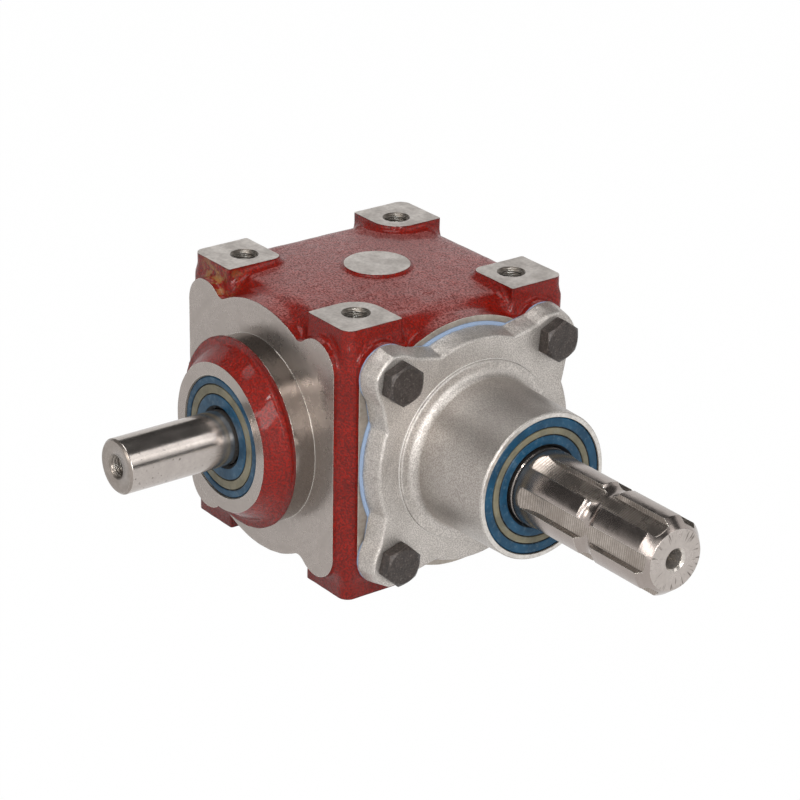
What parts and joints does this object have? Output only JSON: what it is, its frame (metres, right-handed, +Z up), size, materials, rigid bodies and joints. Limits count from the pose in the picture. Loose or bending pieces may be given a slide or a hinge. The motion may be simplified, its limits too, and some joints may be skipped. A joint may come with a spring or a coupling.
{
  "type": "right-angle bevel gearbox",
  "caption": "Right-angle bevel gearbox in a cubic cast housing with corner mounting pads, a flanged cover carrying a splined input shaft, and a plain output shaft.",
  "frame": {"origin": "on the plane of the base pads, midway between the four threaded base holes and under the crossing of both shaft axes", "axes": "+Z up from the base pads, +X along the splined input shaft towards its free end, -Y along the plain output shaft towards its free end"},
  "size_m": [0.275, 0.2012, 0.127],
  "materials": {
    "red_casting": "gloss red enamel over cast iron, machined faces bare",
    "grey_casting": "shot-blasted casting",
    "gasket_sheet": "light blue gasket sheet",
    "black_bolt": "black oxide",
    "ground_steel": "ground and turned",
    "spline_steel": "milled spline",
    "gear_steel": "case-hardened teeth",
    "bearing_steel": "polished",
    "cage_steel": "pressed and pickled",
    "spring_steel": "phosphated",
    "seal_rubber": "blue nitrile rubber",
    "seal_insert": "beige dust ring",
    "copper_washer": "annealed copper"
  },
  "bodies": {
    "housing": {"housing": "red_casting", "flange_cover": "grey_casting", "cover_gasket": "gasket_sheet", "cover_bolts": "black_bolt", "crown_shims": "ground_steel", "input_bore_circlips": "spring_steel", "input_seal": "seal_rubber", "input_seal_insert": "seal_insert", "input_seal_spring": "spring_steel", "output_bore_circlips": "spring_steel", "output_seal": "seal_rubber", "output_seal_insert": "seal_insert", "output_seal_spring": "spring_steel", "rear_end_cap": "black_bolt", "oil_filler_plug": "black_bolt", "oil_level_plug": "black_bolt", "oil_drain_plug": "black_bolt", "plug_washers": "copper_washer", "gear_bearing_outer": "bearing_steel", "snout_bearing_outer": "bearing_steel", "pinion_bearing_outer": "bearing_steel", "tail_bearing_outer": "bearing_steel"},
    "input_shaft": {"input_shaft": "spline_steel", "crown_gear": "gear_steel", "crown_key": "spring_steel", "input_shaft_circlips": "spring_steel", "gear_bearing_inner": "bearing_steel", "snout_bearing_inner": "bearing_steel"},
    "output_shaft": {"output_shaft": "ground_steel", "output_shaft_circlips": "spring_steel", "pinion_bearing_inner": "bearing_steel", "tail_bearing_inner": "bearing_steel"},
    "gear_bearing_cage": {"gear_bearing_cage": "cage_steel", "gear_bearing_balls": "bearing_steel"},
    "snout_bearing_cage": {"snout_bearing_cage": "cage_steel", "snout_bearing_balls": "bearing_steel"},
    "pinion_bearing_cage": {"pinion_bearing_cage": "cage_steel", "pinion_bearing_balls": "bearing_steel"},
    "tail_bearing_cage": {"tail_bearing_cage": "cage_steel", "tail_bearing_balls": "bearing_steel"}
  },
  "joints": [
    {"name": "input_spin", "type": "hinge", "parent": "housing", "child": "input_shaft", "pos_m": [0, 0, 0.0635], "axis": [1, 0, 0], "continuous": true},
    {"name": "output_spin", "type": "hinge", "parent": "housing", "child": "output_shaft", "pos_m": [0, 0, 0.0635], "axis": [0, 1, 0], "continuous": true},
    {"name": "gear_cage_spin", "type": "hinge", "parent": "housing", "child": "gear_bearing_cage", "pos_m": [0, 0, 0.0635], "axis": [1, 0, 0], "continuous": true},
    {"name": "snout_cage_spin", "type": "hinge", "parent": "housing", "child": "snout_bearing_cage", "pos_m": [0, 0, 0.0635], "axis": [1, 0, 0], "continuous": true},
    {"name": "pinion_cage_spin", "type": "hinge", "parent": "housing", "child": "pinion_bearing_cage", "pos_m": [0, 0, 0.0635], "axis": [0, 1, 0], "continuous": true},
    {"name": "tail_cage_spin", "type": "hinge", "parent": "housing", "child": "tail_bearing_cage", "pos_m": [0, 0, 0.0635], "axis": [0, 1, 0], "continuous": true}
  ],
  "couplings": [
    {"joint": "output_spin", "follows": "input_spin", "ratio": 1.5},
    {"joint": "gear_cage_spin", "follows": "input_spin", "ratio": 0.4},
    {"joint": "snout_cage_spin", "follows": "input_spin", "ratio": 0.4165},
    {"joint": "pinion_cage_spin", "follows": "input_spin", "ratio": 0.6176},
    {"joint": "tail_cage_spin", "follows": "input_spin", "ratio": 0.5903}
  ]
}
